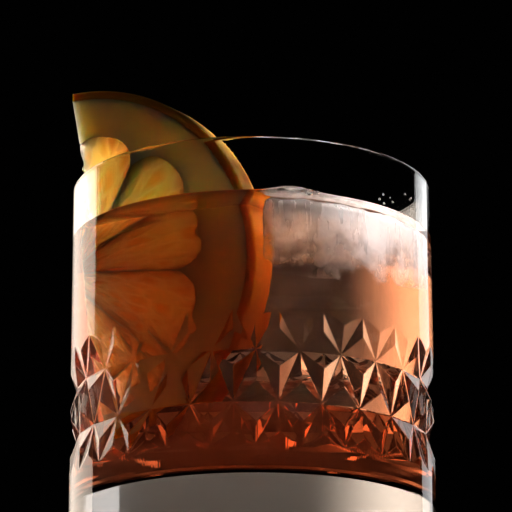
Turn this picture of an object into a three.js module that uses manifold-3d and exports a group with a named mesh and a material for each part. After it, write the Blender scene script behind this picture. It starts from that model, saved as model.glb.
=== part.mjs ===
// Negroni: a cut glass tumbler, the drink, one large block of ice and not quite half a wheel of orange.
// Millimetres, +Z up. The origin is the centre of the glass's underside, and the viewer is at -Y.
import * as THREE from 'three';
import { mergeGeometries, mergeVertices } from 'three/addons/utils/BufferGeometryUtils.js';
import Module from 'manifold-3d';

const wasm = await Module();
wasm.setup();

// Tumbler
const GLASS_RADIUS = 42;
const GLASS_HEIGHT = 90;
const RIM_WALL = 1.6;
const LOWER_WALL = 3.6;
const FLOOR_THICKNESS = 14.5;
const INNER_FILLET = 6;
const FOOT_CHAMFER = 1.4;
const WALL_SIDES_PER_REPEAT = 4;

// Cut band: two rows of crossing grooves, with pointed tips that run out into the plain wall
const REPEATS = 26;
const PATTERN_START = THREE.MathUtils.degToRad(1.2);
const GROOVE_DEPTH = 1.5;
const UPPER_TIPS_Z = 49.8;
const UPPER_CROSSINGS_Z = 41.0;
const LOWER_CROSSINGS_Z = 29.3;
const LOWER_TIPS_Z = 19.5;
const TIP_APEX_SHARE = 0.5;
const WALL_APEX_SHARE = 0.72;
const MIDDLE_APEX_SHARE = 0.35;
const SEAM_ABOVE_TIPS = 2;
const SEAM_BELOW_TIPS = 2;

// Drink
const DRINK_LEVEL = 76.8;
const MENISCUS_RISE = 0.9;
const MENISCUS_WIDTH = 2.4;
const GAP = 0.3;

// Ice: one clear block with melted edges, close behind the orange
const ICE_SIDE = 44;
const ICE_EDGE_RADIUS = 5;
const ICE_GRID = 12;
const ICE_MELT = 0.5;
const ICE_MELT_LENGTHS = { x: 7, y: 8, z: 12 };
const ICE_FREEBOARD = 4;
const ICE_CENTRE_X = 4.7;
const ICE_CENTRE_Y = 9.8;
const ICE_TURN = THREE.MathUtils.degToRad(-25.2);

// Orange: not quite half a wheel, its cut edge to the left, leaning on the rim
const ORANGE_RADIUS = 44;
const CUT_OFFSET = 4.6;
const FLESH_RADIUS = 33.5;
const SLICE_THICKNESS = 8;
const SLICE_EDGE = 0.7;
const FLESH_RELIEF = 0.5;
const CORE_RADIUS = 3;
const MEMBRANE = 1.2;
const MEMBRANE_ANGLES = [2, 38, 73, 106, 143, 182];
const LOBE_SHOULDER = 0.84;
const LOBE_FULLNESS = 1.04;
const LOBE_PULL = 0.8;
const SLICE_CENTRE = new THREE.Vector3(-39.1, -6.5, 67.7);
const SLICE_TURN = THREE.MathUtils.degToRad(-25.2);
const SLICE_LEAN = THREE.MathUtils.degToRad(5.3);
const SLICE_ROLL = THREE.MathUtils.degToRad(8.2);
const SLICE_ARC_STEPS = 40;

const WALL_SIDES = REPEATS * WALL_SIDES_PER_REPEAT;
const ROUNDING_STEPS = 6;
const LOBE_STEPS = 12;

// A point on the wall; the turn counts repeats of the pattern, from the one that faces the viewer
function onWall(radius, turn, z) {
  const angle = PATTERN_START + (turn * 2 * Math.PI) / REPEATS;
  return new THREE.Vector3(radius * Math.sin(angle), -radius * Math.cos(angle), z);
}

// One triangle of the outer wall, turned so that it faces away from the axis
function addFacet(positions, a, b, c) {
  const middle = new THREE.Vector3().add(a).add(b).add(c).setZ(0);
  const normal = new THREE.Vector3().subVectors(b, a).cross(new THREE.Vector3().subVectors(c, a));
  const corners = normal.dot(middle) > 0 ? [a, b, c] : [a, c, b];
  for (const corner of corners) positions.push(corner.x, corner.y, corner.z);
}

// A low pyramid between three corners, or only those of its sides that are asked for
function addPyramid(positions, corners, apex, sides = [0, 1, 2]) {
  for (const side of sides) {
    addFacet(positions, corners[side], corners[(side + 1) % 3], apex);
  }
}

// The plain wall between a row of tips and the round seam beyond it, over half a repeat
function addWallStep(positions, turn, apexTurn, tipTurn, apexZ, tipZ, seamZ) {
  const apex = onWall(GLASS_RADIUS, turn + apexTurn, apexZ);
  const tip = onWall(GLASS_RADIUS, turn + tipTurn, tipZ);
  const middleTurn = (apexTurn + tipTurn) / 2;
  const seam = [apexTurn, middleTurn, tipTurn].map((part) => onWall(GLASS_RADIUS, turn + part, seamZ));
  addFacet(positions, apex, seam[0], seam[1]);
  addFacet(positions, apex, seam[1], tip);
  addFacet(positions, tip, seam[1], seam[2]);
}

// The cut band, one repeat after another
function cutBand() {
  const positions = [];
  const deep = GLASS_RADIUS - GROOVE_DEPTH;
  const mix = THREE.MathUtils.lerp;
  const upperTipApexZ = mix(UPPER_CROSSINGS_Z, UPPER_TIPS_Z, TIP_APEX_SHARE);
  const upperWallApexZ = mix(UPPER_CROSSINGS_Z, UPPER_TIPS_Z, WALL_APEX_SHARE);
  const middleUpApexZ = mix(LOWER_CROSSINGS_Z, UPPER_CROSSINGS_Z, MIDDLE_APEX_SHARE);
  const middleDownApexZ = mix(UPPER_CROSSINGS_Z, LOWER_CROSSINGS_Z, MIDDLE_APEX_SHARE);
  const lowerTipApexZ = mix(LOWER_CROSSINGS_Z, LOWER_TIPS_Z, TIP_APEX_SHARE);
  const lowerWallApexZ = mix(LOWER_CROSSINGS_Z, LOWER_TIPS_Z, WALL_APEX_SHARE);
  const upperSeamZ = UPPER_TIPS_Z + SEAM_ABOVE_TIPS;
  const lowerSeamZ = LOWER_TIPS_Z - SEAM_BELOW_TIPS;

  for (let turn = 0; turn < REPEATS; turn++) {
    const upper = [0, 1].map((part) => onWall(deep, turn + part, UPPER_CROSSINGS_Z));
    const lower = [-0.5, 0.5].map((part) => onWall(deep, turn + part, LOWER_CROSSINGS_Z));
    const upperTips = [-0.5, 0.5].map((part) => onWall(GLASS_RADIUS, turn + part, UPPER_TIPS_Z));
    const lowerTips = [0, 1].map((part) => onWall(GLASS_RADIUS, turn + part, LOWER_TIPS_Z));
    const raised = (part, z) => onWall(GLASS_RADIUS, turn + part, z);

    addPyramid(positions, [upper[0], upper[1], upperTips[1]], raised(0.5, upperTipApexZ));
    addPyramid(positions, [upperTips[0], upper[0], upperTips[1]], raised(0, upperWallApexZ), [0, 1]);
    addPyramid(positions, [lower[0], lower[1], upper[0]], raised(0, middleUpApexZ));
    addPyramid(positions, [upper[0], upper[1], lower[1]], raised(0.5, middleDownApexZ));
    addPyramid(positions, [lower[0], lower[1], lowerTips[0]], raised(0, lowerTipApexZ));
    addPyramid(positions, [lowerTips[0], lower[1], lowerTips[1]], raised(0.5, lowerWallApexZ), [0, 1]);

    addWallStep(positions, turn, 0, 0.5, upperWallApexZ, UPPER_TIPS_Z, upperSeamZ);
    addWallStep(positions, turn, 1, 0.5, upperWallApexZ, UPPER_TIPS_Z, upperSeamZ);
    addWallStep(positions, turn, 0.5, 0, lowerWallApexZ, LOWER_TIPS_Z, lowerSeamZ);
    addWallStep(positions, turn, 0.5, 1, lowerWallApexZ, LOWER_TIPS_Z, lowerSeamZ);
  }
  const geometry = new THREE.BufferGeometry();
  geometry.setAttribute('position', new THREE.Float32BufferAttribute(positions, 3));
  return geometry;
}

// Points of an arc in a profile, both ends included
function arc(centreX, centreZ, radius, from, to, steps) {
  const points = [];
  for (let step = 0; step <= steps; step++) {
    const angle = THREE.MathUtils.degToRad(from + ((to - from) * step) / steps);
    points.push(new THREE.Vector2(centreX + radius * Math.cos(angle), centreZ + radius * Math.sin(angle)));
  }
  return points;
}

// A turned surface with its sides in step with the cut pattern
function turned(profile) {
  const geometry = new THREE.LatheGeometry(profile, WALL_SIDES, PATTERN_START);
  geometry.rotateX(Math.PI / 2);
  const plain = geometry.toNonIndexed();
  plain.deleteAttribute('normal');
  plain.deleteAttribute('uv');
  return plain;
}

// Shared corners are joined, and triangles that have shrunk to a line are dropped
function welded(geometry) {
  geometry.deleteAttribute('normal');
  geometry.deleteAttribute('uv');
  const merged = mergeVertices(geometry, 1e-4);
  const index = merged.index.array;
  const kept = [];
  for (let i = 0; i < index.length; i += 3) {
    const [a, b, c] = [index[i], index[i + 1], index[i + 2]];
    if (a !== b && b !== c && c !== a) kept.push(a, b, c);
  }
  merged.setIndex(kept);
  return merged;
}

function toSolid(geometry) {
  const merged = welded(geometry);
  return new wasm.Manifold(new wasm.Mesh({
    numProp: 3,
    vertProperties: merged.attributes.position.array,
    triVerts: new Uint32Array(merged.index.array),
  }));
}

function toGeometry(solid) {
  const mesh = solid.getMesh();
  const geometry = new THREE.BufferGeometry();
  geometry.setAttribute('position', new THREE.BufferAttribute(mesh.vertProperties, 3));
  geometry.setIndex(new THREE.BufferAttribute(mesh.triVerts, 1));
  return geometry;
}

// The inside of the tumbler narrows evenly from the rim to the fillet above the floor
const RIM_ROUND = RIM_WALL / 2;
const INNER_TOP = new THREE.Vector2(GLASS_RADIUS - RIM_WALL, GLASS_HEIGHT - RIM_ROUND);
const INNER_FOOT = new THREE.Vector2(GLASS_RADIUS - LOWER_WALL, FLOOR_THICKNESS + INNER_FILLET);

function innerRadius(z) {
  return THREE.MathUtils.mapLinear(z, INNER_FOOT.y, INNER_TOP.y, INNER_FOOT.x, INNER_TOP.x);
}

function tumbler() {
  const rim = arc(GLASS_RADIUS - RIM_ROUND, GLASS_HEIGHT - RIM_ROUND, RIM_ROUND, 0, 180, ROUNDING_STEPS);
  const fillet = arc(INNER_FOOT.x - INNER_FILLET, INNER_FOOT.y, INNER_FILLET, 0, -90, ROUNDING_STEPS);
  const upperProfile = [
    new THREE.Vector2(GLASS_RADIUS, UPPER_TIPS_Z + SEAM_ABOVE_TIPS),
    ...rim,
    ...fillet,
    new THREE.Vector2(0, FLOOR_THICKNESS),
  ];
  const footProfile = [
    new THREE.Vector2(0, 0),
    new THREE.Vector2(GLASS_RADIUS - FOOT_CHAMFER, 0),
    new THREE.Vector2(GLASS_RADIUS, FOOT_CHAMFER),
    new THREE.Vector2(GLASS_RADIUS, LOWER_TIPS_Z - SEAM_BELOW_TIPS),
  ];
  return welded(mergeGeometries([cutBand(), turned(upperProfile), turned(footProfile)]));
}

// A block with rounded edges and gently uneven, melted faces, made larger by `grow`
function iceGeometry(grow) {
  const geometry = new THREE.BoxGeometry(ICE_SIDE, ICE_SIDE, ICE_SIDE, ICE_GRID, ICE_GRID, ICE_GRID);
  const position = geometry.attributes.position;
  const core = ICE_SIDE / 2 - ICE_EDGE_RADIUS;
  const low = new THREE.Vector3(-core, -core, -core);
  const high = new THREE.Vector3(core, core, core);
  for (let i = 0; i < position.count; i++) {
    const point = new THREE.Vector3().fromBufferAttribute(position, i);
    const inner = point.clone().clamp(low, high);
    const outward = point.clone().sub(inner).normalize();
    const { x, y, z } = point.clone().divide(ICE_MELT_LENGTHS);
    const melt = ICE_MELT * Math.sin(x + z) * Math.cos(y - z);
    inner.addScaledVector(outward, ICE_EDGE_RADIUS + melt + grow);
    position.setXYZ(i, inner.x, inner.y, inner.z);
  }
  return geometry;
}

const ICE_CENTRE_Z = DRINK_LEVEL + ICE_FREEBOARD - ICE_SIDE / 2;
const icePlace = new THREE.Matrix4()
  .makeRotationZ(ICE_TURN)
  .setPosition(ICE_CENTRE_X, ICE_CENTRE_Y, ICE_CENTRE_Z);

// The slice in its own frame: the wheel's centre is the origin, the cut edge runs along Y beside it, the
// peel is at +X, and the shown face is at z = 0. It is made larger all round by `grow`.
function slab(grow) {
  const bevel = SLICE_EDGE;
  const radius = ORANGE_RADIUS + 2 * grow;
  const reach = Math.acos(CUT_OFFSET / radius);
  const outline = new THREE.Shape();
  outline.absarc(0, 0, radius, -reach, reach, false);
  const partWheel = new THREE.ExtrudeGeometry(outline, {
    depth: SLICE_THICKNESS + 2 * grow - 2 * bevel,
    bevelEnabled: true,
    bevelThickness: bevel,
    bevelSize: bevel,
    bevelOffset: -bevel,
    bevelSegments: 2,
    curveSegments: SLICE_ARC_STEPS,
  });
  return partWheel.translate(-grow, 0, bevel - SLICE_THICKNESS - grow);
}

// One segment of flesh, between two membranes given in degrees from the wheel's upright diameter
function fleshLobe(fromAngle, toAngle) {
  const from = THREE.MathUtils.degToRad(90 - fromAngle);
  const to = THREE.MathUtils.degToRad(90 - toAngle);
  const half = (from - to) / 2;
  const middle = (from + to) / 2;
  const inset = MEMBRANE / 2 / Math.sin(half);
  const start = Math.max(inset, CORE_RADIUS);
  const polar = (radius, angle) => new THREE.Vector2(radius * Math.cos(angle), radius * Math.sin(angle));
  const shoulder = FLESH_RADIUS * LOBE_SHOULDER;
  const shoulderTurn = half - MEMBRANE / 2 / shoulder;
  const lobe = new THREE.Shape();
  const root = polar(start, middle);
  const right = polar(shoulder, middle - shoulderTurn);
  const left = polar(shoulder, middle + shoulderTurn);
  const rightPull = polar(FLESH_RADIUS * LOBE_FULLNESS, middle - shoulderTurn * LOBE_PULL);
  const leftPull = polar(FLESH_RADIUS * LOBE_FULLNESS, middle + shoulderTurn * LOBE_PULL);
  lobe.moveTo(root.x, root.y);
  lobe.lineTo(right.x, right.y);
  lobe.bezierCurveTo(rightPull.x, rightPull.y, leftPull.x, leftPull.y, left.x, left.y);
  lobe.closePath();
  return lobe;
}

function orangeSlice() {
  let solid = toSolid(slab(0));
  const beyondCut = new THREE.BoxGeometry(ORANGE_RADIUS, 2 * ORANGE_RADIUS, 4 * SLICE_THICKNESS)
    .translate(CUT_OFFSET + ORANGE_RADIUS / 2, 0, 0);
  for (let i = 0; i + 1 < MEMBRANE_ANGLES.length; i++) {
    const shape = fleshLobe(MEMBRANE_ANGLES[i], MEMBRANE_ANGLES[i + 1]);
    const lobe = new THREE.ExtrudeGeometry(shape, {
      depth: SLICE_THICKNESS,
      bevelEnabled: true,
      bevelThickness: FLESH_RELIEF,
      bevelSize: FLESH_RELIEF,
      bevelOffset: -FLESH_RELIEF,
      bevelSegments: 1,
      curveSegments: LOBE_STEPS,
    }).translate(0, 0, -SLICE_THICKNESS);
    solid = solid.add(toSolid(lobe).intersect(toSolid(beyondCut.clone())));
  }
  return toGeometry(solid);
}

const slicePlace = new THREE.Matrix4()
  .makeRotationZ(SLICE_TURN)
  .multiply(new THREE.Matrix4().makeRotationX(Math.PI / 2 + SLICE_LEAN))
  .multiply(new THREE.Matrix4().makeRotationZ(SLICE_ROLL))
  .setPosition(SLICE_CENTRE);

// The drink fills the glass to its level, curls up a little at the wall, and leaves room for ice and slice
function drinkGeometry() {
  const floor = FLOOR_THICKNESS + GAP;
  const filletX = INNER_FOOT.x - INNER_FILLET;
  const fillet = arc(filletX, INNER_FOOT.y, INNER_FILLET - GAP, -90, 0, ROUNDING_STEPS);
  const lip = DRINK_LEVEL + MENISCUS_RISE;
  const meniscusFoot = innerRadius(DRINK_LEVEL) - MENISCUS_WIDTH;
  const profile = [
    new THREE.Vector2(0, floor),
    ...fillet,
    new THREE.Vector2(innerRadius(lip) - GAP, lip),
    new THREE.Vector2(innerRadius(lip) - GAP - MENISCUS_WIDTH / 4, DRINK_LEVEL + MENISCUS_RISE / 3),
    new THREE.Vector2(meniscusFoot, DRINK_LEVEL),
    new THREE.Vector2(0, DRINK_LEVEL),
  ];
  const room = FLESH_RELIEF + GAP;
  const body = toSolid(turned(profile));
  const roomForIce = toSolid(iceGeometry(GAP).applyMatrix4(icePlace));
  const roomForSlice = toSolid(slab(room).applyMatrix4(slicePlace));
  return toGeometry(body.subtract(roomForIce).subtract(roomForSlice));
}

const glassLook = new THREE.MeshStandardMaterial({ color: 0xe8eef0, roughness: 0.02, metalness: 0 });
glassLook.transparent = true;
glassLook.opacity = 0.35;
const drinkLook = new THREE.MeshStandardMaterial({ color: 0x9c4a32, roughness: 0.05, metalness: 0 });
const iceLook = new THREE.MeshStandardMaterial({ color: 0xdfe6ea, roughness: 0.15, metalness: 0 });
const orangeLook = new THREE.MeshStandardMaterial({ color: 0xe08a22, roughness: 0.45, metalness: 0 });

function named(name, geometry, material) {
  const mesh = new THREE.Mesh(geometry, material);
  mesh.name = name;
  return mesh;
}

const negroni = new THREE.Group();
negroni.add(named('glass', tumbler(), glassLook));
negroni.add(named('drink', drinkGeometry(), drinkLook));

const ice = named('ice_block', welded(iceGeometry(0)), iceLook);
ice.applyMatrix4(icePlace);
negroni.add(ice);

const slice = named('orange_slice', orangeSlice(), orangeLook);
slice.applyMatrix4(slicePlace);
negroni.add(slice);

export default negroni;
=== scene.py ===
# %% [markdown]
# # A negroni in a cut tumbler
# A short tumbler of clear glass holds the drink, one large block of ice and not quite half a wheel of
# orange. The solids of the four things are loaded first and never changed. Each is then replaced by finer
# pieces that look like the real thing, in metres, standing where the solid stands.

# %% Load the solids
import math
import random

import bmesh
import bpy
from mathutils import Matrix, Vector, noise


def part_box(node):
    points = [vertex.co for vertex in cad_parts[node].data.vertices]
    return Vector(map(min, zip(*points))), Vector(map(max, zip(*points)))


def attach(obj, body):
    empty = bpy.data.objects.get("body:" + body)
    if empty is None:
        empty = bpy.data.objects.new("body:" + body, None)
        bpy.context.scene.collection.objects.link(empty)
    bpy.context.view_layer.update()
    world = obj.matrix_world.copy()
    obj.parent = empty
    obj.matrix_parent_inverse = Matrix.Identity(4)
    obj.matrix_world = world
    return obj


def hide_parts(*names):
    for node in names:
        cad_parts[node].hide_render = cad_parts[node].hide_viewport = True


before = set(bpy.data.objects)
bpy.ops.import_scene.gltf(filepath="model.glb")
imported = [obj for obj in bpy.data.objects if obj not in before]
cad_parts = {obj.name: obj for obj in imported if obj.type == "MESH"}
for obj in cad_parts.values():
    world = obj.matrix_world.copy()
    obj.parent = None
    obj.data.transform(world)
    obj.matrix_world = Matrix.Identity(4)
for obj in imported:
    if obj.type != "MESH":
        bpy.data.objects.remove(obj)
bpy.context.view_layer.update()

MM = 0.001
scene = bpy.context.scene
print("solids:", sorted(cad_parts))

# %% [markdown]
# ## The camera
# The photograph looks up at the glass from below the surface it stands on, with a long lens. A camera could
# be placed by eye, but then the cut pattern wouldn't line up. So its place, its tilt and its focal length
# come from a fit of the rim's arc and of the cut pattern's crossings.

# %% Camera
CAMERA_BACK = 688 * MM
CAMERA_DROP = 132 * MM
CAMERA_SIDE = 0.48 * MM
CAMERA_TILT = math.radians(16.7)
CAMERA_ROLL = math.radians(0.13)
SENSOR = 36.0
FOCAL_LENGTH = 215.3

camera_data = bpy.data.cameras.new("camera")
camera_data.sensor_width = SENSOR
camera_data.lens = FOCAL_LENGTH
camera = bpy.data.objects.new("camera", camera_data)
scene.collection.objects.link(camera)
camera.location = (CAMERA_SIDE, -CAMERA_BACK, -CAMERA_DROP)
camera.rotation_euler = (math.radians(90) + CAMERA_TILT, CAMERA_ROLL, 0)
scene.camera = camera
print("camera", [round(c, 3) for c in camera.location])

# %% [markdown]
# ## Finishes in general
# A finish could be a picture wrapped round the piece, but that shows seams and blurs up close. Here every
# finish starts from one Principled shader, and what changes over the surface comes from noise or from
# values kept on the piece. What is the same all over is set on the shader itself.

# %% Finish helpers
def principled(name, **values):
    """A new material, its node tree and its Principled shader, with plain values set on the sockets."""
    material = bpy.data.materials.new(name)
    material.use_nodes = True
    tree = material.node_tree
    shader = tree.nodes["Principled BSDF"]
    for socket, value in values.items():
        shader.inputs[socket.replace("_", " ")].default_value = value
    return material, tree, shader


def add_node(tree, kind, **settings):
    """A node with its settings. A name that is no setting of the node is one of its inputs."""
    node = tree.nodes.new(kind)
    for name, value in settings.items():
        if hasattr(node, name):
            setattr(node, name, value)
        else:
            node.inputs[name.replace("_", " ")].default_value = value
    return node


def remap(tree, value, low, high, from_low, from_high):
    """The pattern's usual range, turned into another range."""
    node = add_node(tree, "ShaderNodeMapRange", From_Min=from_low, From_Max=from_high,
                    To_Min=low, To_Max=high)
    tree.links.new(value, node.inputs["Value"])
    return node.outputs["Result"]


def combine(tree, operation, first, second):
    node = add_node(tree, "ShaderNodeMath", operation=operation)
    tree.links.new(first, node.inputs[0])
    tree.links.new(second, node.inputs[1])
    return node.outputs["Value"]


def bump(tree, shader, height, strength, distance):
    node = add_node(tree, "ShaderNodeBump", Strength=strength, Distance=distance)
    tree.links.new(height, node.inputs["Height"])
    tree.links.new(node.outputs["Normal"], shader.inputs["Normal"])


def blend_colors(tree, factor, first, second):
    ramp = add_node(tree, "ShaderNodeValToRGB")
    ramp.color_ramp.elements[0].color = (*first, 1)
    ramp.color_ramp.elements[1].color = (*second, 1)
    tree.links.new(factor, ramp.inputs["Fac"])
    return ramp.outputs["Color"]


# %% [markdown]
# ## Two effects that several finishes share
# Ice, peel, pith and flesh all vary a little from place to place, and both kinds of ice change with height.
# The nodes for that could be repeated in every finish. As node groups they are built once, and each finish
# places them with its own values.

# %% Shared effects
def new_effect(name, inputs):
    """A node group with its named inputs and one output, and the nodes at its two ends."""
    group = bpy.data.node_groups.new(name, "ShaderNodeTree")
    for socket, kind in inputs.items():
        group.interface.new_socket(socket, in_out="INPUT", socket_type=kind)
    group.interface.new_socket("Value", in_out="OUTPUT", socket_type="NodeSocketFloat")
    return group, group.nodes.new("NodeGroupInput"), group.nodes.new("NodeGroupOutput")


def build_mottle():
    """Noise on the piece's own coordinates. A stretch below 1 makes the pattern longer that way."""
    inputs = {"Scale": "NodeSocketFloat", "Detail": "NodeSocketFloat", "Stretch": "NodeSocketVector"}
    group, start, end = new_effect("mottle", inputs)
    place = add_node(group, "ShaderNodeTexCoord")
    mapping = add_node(group, "ShaderNodeMapping")
    pattern = add_node(group, "ShaderNodeTexNoise")
    group.links.new(place.outputs["Object"], mapping.inputs["Vector"])
    group.links.new(start.outputs["Stretch"], mapping.inputs["Scale"])
    group.links.new(mapping.outputs["Vector"], pattern.inputs["Vector"])
    group.links.new(start.outputs["Scale"], pattern.inputs["Scale"])
    group.links.new(start.outputs["Detail"], pattern.inputs["Detail"])
    group.links.new(pattern.outputs["Fac"], end.inputs["Value"])
    return group


def build_fade():
    """A mask that rises from 0 to 1 between two places along a direction."""
    inputs = {"Direction": "NodeSocketVector", "Start": "NodeSocketFloat", "Full": "NodeSocketFloat"}
    group, start, end = new_effect("fade", inputs)
    place = add_node(group, "ShaderNodeTexCoord")
    along = add_node(group, "ShaderNodeVectorMath", operation="DOT_PRODUCT")
    mask = add_node(group, "ShaderNodeMapRange")
    group.links.new(place.outputs["Object"], along.inputs[0])
    group.links.new(start.outputs["Direction"], along.inputs[1])
    group.links.new(along.outputs["Value"], mask.inputs["Value"])
    group.links.new(start.outputs["Start"], mask.inputs["From Min"])
    group.links.new(start.outputs["Full"], mask.inputs["From Max"])
    group.links.new(mask.outputs["Result"], end.inputs["Value"])
    return group


mottle_effect = build_mottle()
fade_effect = build_fade()
UP = (0, 0, 1)
TO_THE_RIGHT = (1, 0, 0)


def mottle(tree, scale, stretch=(1, 1, 1), detail=2.0):
    node = add_node(tree, "ShaderNodeGroup", node_tree=mottle_effect, Scale=scale, Stretch=stretch,
                    Detail=detail)
    return node.outputs["Value"]


def fade(tree, direction, start, full):
    node = add_node(tree, "ShaderNodeGroup", node_tree=fade_effect, Direction=direction, Start=start,
                    Full=full)
    return node.outputs["Value"]


print("shared effects:", [group.name for group in bpy.data.node_groups])

# %% [markdown]
# ## From a bmesh to a piece
# Pieces could be edited as objects, step by step, but a bmesh is quicker and leaves nothing behind. A
# finished bmesh becomes one mesh at the origin. It rides on the glass's one body, hides the solids that it
# replaces, and carries its finish.

# %% Piece helpers
WELD = 0.002 * MM
CUT_TOLERANCE = 0.001 * MM
NEAR = 0.01 * MM


def mix(low, high, share):
    return low + (high - low) * share


def to_mesh(bm, name):
    mesh = bpy.data.meshes.new(name)
    bm.to_mesh(mesh)
    bm.free()
    return mesh


def join_into(whole, part):
    """Adds a finished part to a bmesh that holds several."""
    mesh = to_mesh(part, "part")
    whole.from_mesh(mesh)
    bpy.data.meshes.remove(mesh)


def finish_piece(name, bm, material, replaces=(), recalculate=True):
    """Turns a bmesh into a piece that rides on the glass's one body."""
    if recalculate:
        bmesh.ops.recalc_face_normals(bm, faces=bm.faces[:])
    mesh = to_mesh(bm, name)
    mesh.materials.append(material)
    piece = bpy.data.objects.new(name, mesh)
    scene.collection.objects.link(piece)
    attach(piece, "root")
    if replaces:
        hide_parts(*replaces)
    print(name, len(mesh.polygons), "faces")
    return piece


def edges_of(result):
    return [part for part in result["geom"] if isinstance(part, bmesh.types.BMEdge)]


def verts_of(result):
    return [part for part in result["geom"] if isinstance(part, bmesh.types.BMVert)]


def smooth_all(bm):
    for face in bm.faces:
        face.smooth = True


def whole_of(bm):
    return bm.verts[:] + bm.edges[:] + bm.faces[:]


# %% [markdown]
# ## Where two clear things touch
# Light bends at the wall between glass and drink by the ratio of their indices, not as it does in air. The
# pieces could share one index, but then the facets would bend light wrongly. So each clear piece carries an
# index for every face: its own in air, the ratio where it touches the next thing, and 1 on the face of that
# next thing, which then changes nothing.

# %% Indices of refraction
GLASS_IOR = 1.5
DRINK_IOR = 1.35
ICE_IOR = 1.31


def set_bend(bm, bend_of):
    layer = bm.faces.layers.float.get("bend") or bm.faces.layers.float.new("bend")
    for face in bm.faces:
        face[layer] = bend_of(face)


def clear_material(name, color):
    """A clear finish whose index of refraction is read from the faces."""
    material, tree, shader = principled(name, Base_Color=(*color, 1), Transmission_Weight=1.0, Roughness=0.0)
    bend = add_node(tree, "ShaderNodeAttribute", attribute_name="bend")
    tree.links.new(bend.outputs["Fac"], shader.inputs["IOR"])
    return material, tree, shader


# %% [markdown]
# ## The tumbler
# The wall is thin at the rim and thicker at the foot, above a heavy clear floor. The solid could be reused
# as it is, but its facets have hard edges. So the tumbler is made anew: its radius and height are read from
# the solid, and the other sizes are those that the solid was made with.

# %% Tumbler sizes
glass_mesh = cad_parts["glass"].data
GLASS_RADIUS = max(math.hypot(v.co.x, v.co.y) for v in glass_mesh.vertices)
GLASS_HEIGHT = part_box("glass")[1].z
RIM_WALL = 1.6 * MM
LOWER_WALL = 3.6 * MM
FLOOR_THICKNESS = 14.5 * MM
INNER_FILLET = 6 * MM
FOOT_CHAMFER = 1.4 * MM
RIM_ROUND = RIM_WALL / 2

REPEATS = 26
REPEAT_ANGLE = math.tau / REPEATS
PATTERN_START = math.radians(1.2)
GROOVE_DEPTH = 1.5 * MM
UPPER_TIPS_Z = 49.8 * MM
UPPER_CROSSINGS_Z = 41.0 * MM
LOWER_CROSSINGS_Z = 29.3 * MM
LOWER_TIPS_Z = 19.5 * MM
TIP_APEX_SHARE = 0.5
WALL_APEX_SHARE = 0.72
MIDDLE_APEX_SHARE = 0.35
ARC_STEPS = 6
INNER_TOP = (GLASS_RADIUS - RIM_WALL, GLASS_HEIGHT - RIM_ROUND)
INNER_FOOT = (GLASS_RADIUS - LOWER_WALL, FLOOR_THICKNESS + INNER_FILLET)
FILLET_CENTRE = (INNER_FOOT[0] - INNER_FILLET, INNER_FOOT[1])


def inner_radius(z):
    return mix(INNER_FOOT[0], INNER_TOP[0], (z - INNER_FOOT[1]) / (INNER_TOP[1] - INNER_FOOT[1]))


print("tumbler", round(GLASS_RADIUS * 2000, 1), "mm across,", round(GLASS_HEIGHT * 1000, 1), "mm high")

# %% [markdown]
# ## The surface of the drink
# The drink fills the glass to 13 mm below the rim. A flat surface would be simpler, but a liquid wets glass,
# ice and peel, and its surface curls up where it meets them. The line at the wall also swells where a sunk
# shard of ice lies close under it. The piece reaches a little way into the glass, so that no air shows
# between them.

# %% Sizes of the drink and of what stands in it
DRINK_LEVEL = 76.8 * MM
CLIMB_AT_WALL = 0.8 * MM
CLIMB_AT_ICE = 0.7 * MM
CLIMB_REACH = 2.0 * MM
OVERLAP = 0.15 * MM
DRINK_SIDES = 312
DRINK_RINGS = 60
RING_CROWDING = 0.8
DRINK_FILLET_STEPS = 12

ICE_SIDE = 44 * MM
ICE_EDGE_RADIUS = 5 * MM
ICE_MELT = 0.5 * MM
ICE_FREEBOARD = 4 * MM
ICE_TURN = math.radians(-25.2)
ICE_CENTRE = (4.7 * MM, 9.8 * MM, DRINK_LEVEL + ICE_FREEBOARD - ICE_SIDE / 2)
ice_place = Matrix.Translation(ICE_CENTRE)
ice_place = ice_place @ Matrix.Rotation(ICE_TURN, 4, "Z")

ORANGE_RADIUS = 44 * MM
CUT_OFFSET = 4.6 * MM
SLICE_THICKNESS = 8 * MM
SLICE_CENTRE = (-39.1 * MM, -6.5 * MM, 67.7 * MM)
SLICE_TURN = math.radians(-25.2)
SLICE_LEAN = math.radians(90 + 5.3)
SLICE_ROLL = math.radians(8.2)
slice_place = Matrix.Translation(SLICE_CENTRE)
slice_place = slice_place @ Matrix.Rotation(SLICE_TURN, 4, "Z")
slice_place = slice_place @ Matrix.Rotation(SLICE_LEAN, 4, "X")
slice_place = slice_place @ Matrix.Rotation(SLICE_ROLL, 4, "Z")

SHARD_X = 9 * MM
SHARD_SPREAD = 5 * MM
SHARD_LIFT = 1.1 * MM


def away_from_ice(point):
    """Level distance from the side of the ice block, none inside it."""
    local = ice_place.inverted() @ point
    core = ICE_SIDE / 2 - ICE_EDGE_RADIUS
    beyond = Vector((max(abs(local.x) - core, 0), max(abs(local.y) - core, 0)))
    return max(beyond.length - ICE_EDGE_RADIUS, 0)


def away_from_slice(point):
    local = slice_place.inverted() @ point
    beyond = (local.z, -SLICE_THICKNESS - local.z, local.xy.length - ORANGE_RADIUS, CUT_OFFSET - local.x)
    return max(*beyond, 0)


def drink_height(point):
    wall = math.exp(-max(inner_radius(DRINK_LEVEL) - point.xy.length, 0) / CLIMB_REACH)
    ice = math.exp(-away_from_ice(point) / CLIMB_REACH)
    fruit = math.exp(-away_from_slice(point) / CLIMB_REACH)
    climb = CLIMB_AT_WALL * wall + CLIMB_AT_ICE * max(ice, fruit)
    return DRINK_LEVEL + climb + SHARD_LIFT * wall * math.exp(-((point.x - SHARD_X) / SHARD_SPREAD) ** 2)


print("the drink stops", round((GLASS_HEIGHT - DRINK_LEVEL) * 1000, 1), "mm below the rim")

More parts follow.
